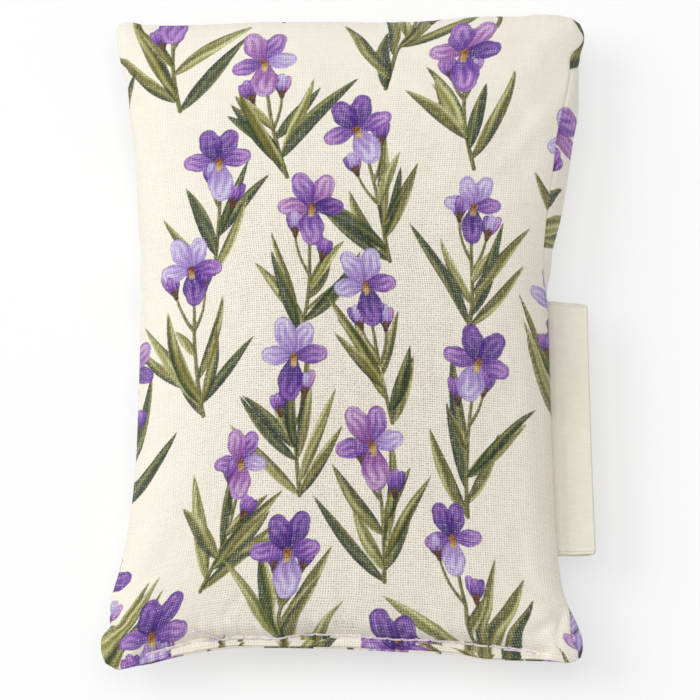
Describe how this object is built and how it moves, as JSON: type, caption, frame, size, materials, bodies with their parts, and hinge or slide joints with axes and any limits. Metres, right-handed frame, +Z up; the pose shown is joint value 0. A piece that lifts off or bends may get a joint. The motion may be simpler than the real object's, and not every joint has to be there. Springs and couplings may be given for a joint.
{
  "type": "scented sachet",
  "caption": "Stuffed cotton pillow sachet with drawn-in sides, a topstitched hem, a dried flower filling and a folded tape label that bends at the side seam.",
  "frame": {"origin": "middle of the flattened patch of the back panel that the sachet lies on", "axes": "+X across the sachet towards its label, +Y from the stitched hem to the top seam, +Z up out of the front panel"},
  "size_m": [0.106, 0.1403, 0.03],
  "materials": {
    "printed_cotton": "plain-woven cotton, cream, with a printed flower design",
    "sewing_thread": "spun sewing thread, pale pinkish white",
    "label_tape": "twill-woven tape, cream",
    "dried_flowers": "loose dried buds"
  },
  "bodies": {
    "cover": {"front_panel": "printed_cotton", "back_panel": "printed_cotton", "dried_flower_filling": "dried_flowers", "seam_needle_thread": "sewing_thread", "seam_bobbin_thread": "sewing_thread", "closing_needle_thread": "sewing_thread", "closing_bobbin_thread": "sewing_thread", "label_root": "label_tape"},
    "label": {"label_flap": "label_tape"}
  },
  "joints": [
    {"name": "label_bend", "type": "hinge", "parent": "cover", "child": "label", "pos_m": [0.04666, -0.018, 0.013], "axis": [0.0314, -0.9995, 0], "range_deg": [-90, 90], "stiffness_Nm_per_rad": 0.0002}
  ]
}
